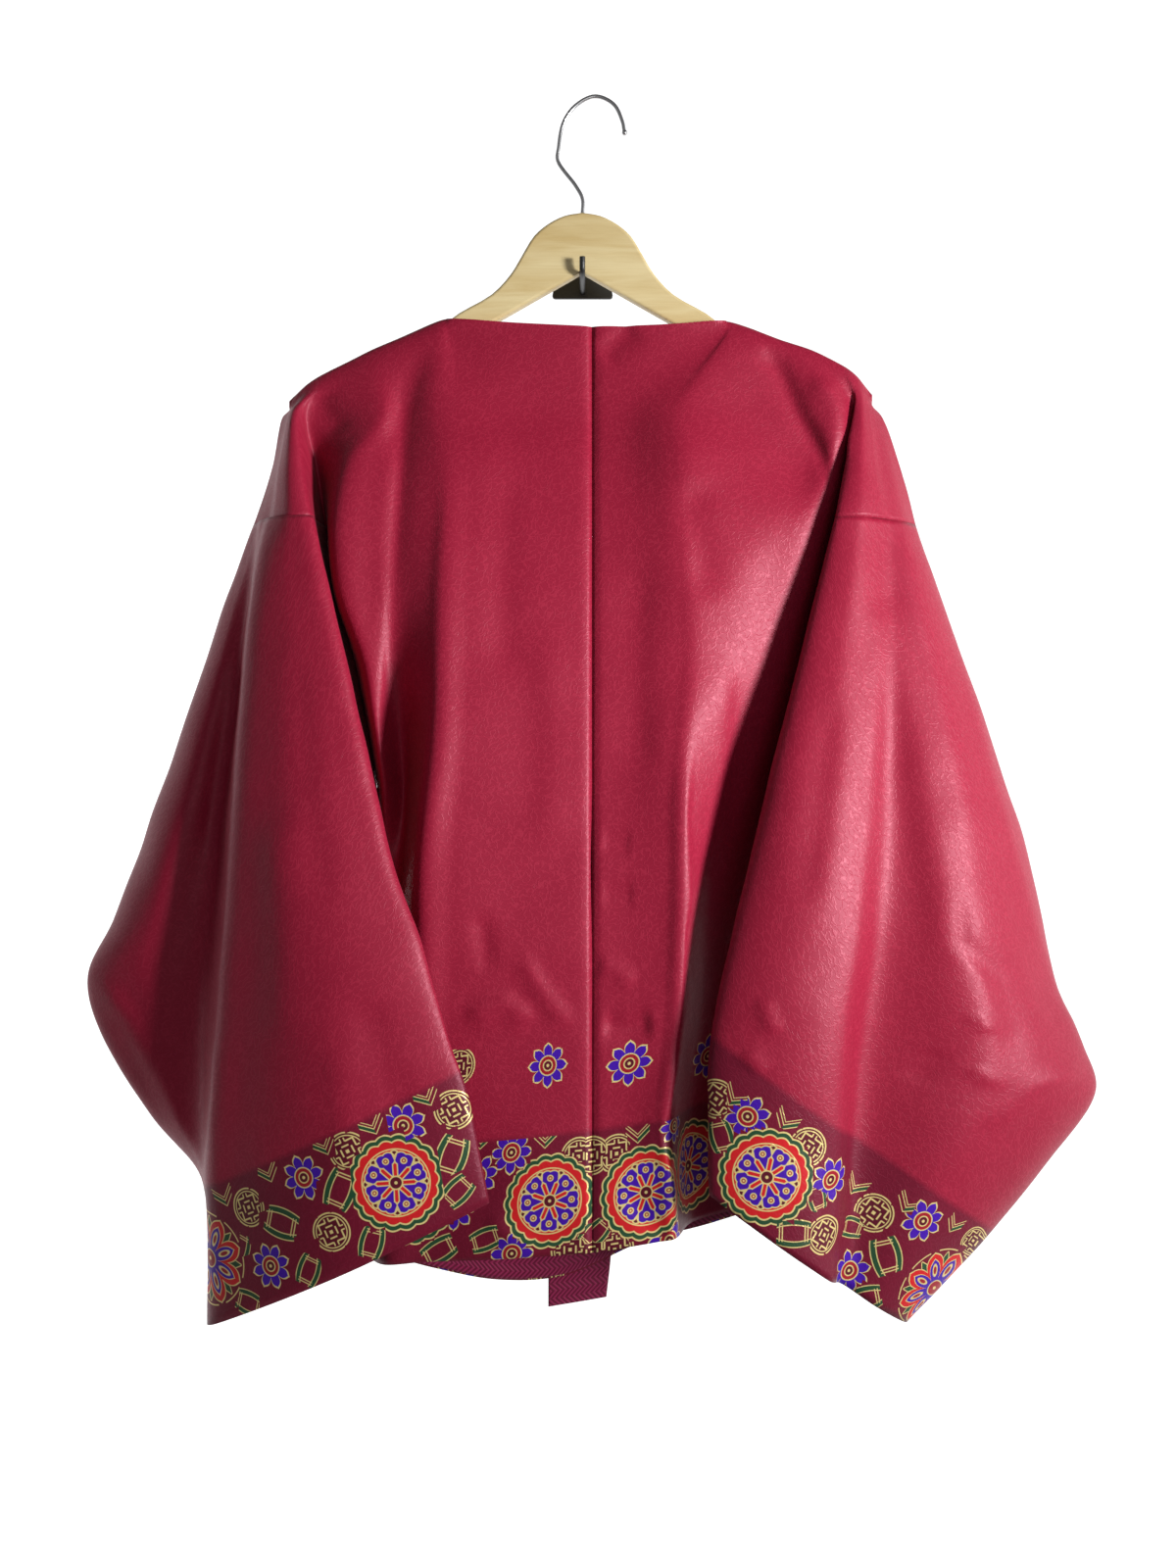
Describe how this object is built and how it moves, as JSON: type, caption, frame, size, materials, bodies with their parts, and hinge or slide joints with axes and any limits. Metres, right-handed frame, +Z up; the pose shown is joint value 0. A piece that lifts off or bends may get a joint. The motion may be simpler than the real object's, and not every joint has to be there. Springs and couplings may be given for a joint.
{
  "type": "hanbok jacket on a wooden hanger and wall hook",
  "caption": "Wide-sleeved wrap jacket of burgundy jacquard silk with a printed border at hem and cuffs, hanging on a wooden hanger with a steel hook.",
  "frame": {"origin": "inside top of the steel hook's bend, where a rail carries it", "axes": "+Z up; +X to the wearer's right; +Y towards the wearer's front, which faces the wall, so the back of the jacket faces -Y"},
  "size_m": [0.797, 0.148, 0.964],
  "materials": {
    "silk": "burgundy jacquard satin with a printed border in gold, red, blue and green",
    "fret_silk": "wine red satin with a tone on tone fret",
    "maple": "pale clear-coated maple",
    "wire": "polished",
    "black": "satin black"
  },
  "bodies": {
    "root": {"back_left": "silk", "back_right": "silk", "front_left": "silk", "front_right": "silk", "sleeve_left": "silk", "sleeve_right": "silk", "lining_left": "fret_silk", "lining_right": "fret_silk", "tie_long": "fret_silk", "tie_short": "fret_silk", "hanger": "maple", "hook": "wire", "wall_hook": "black"}
  },
  "joints": []
}
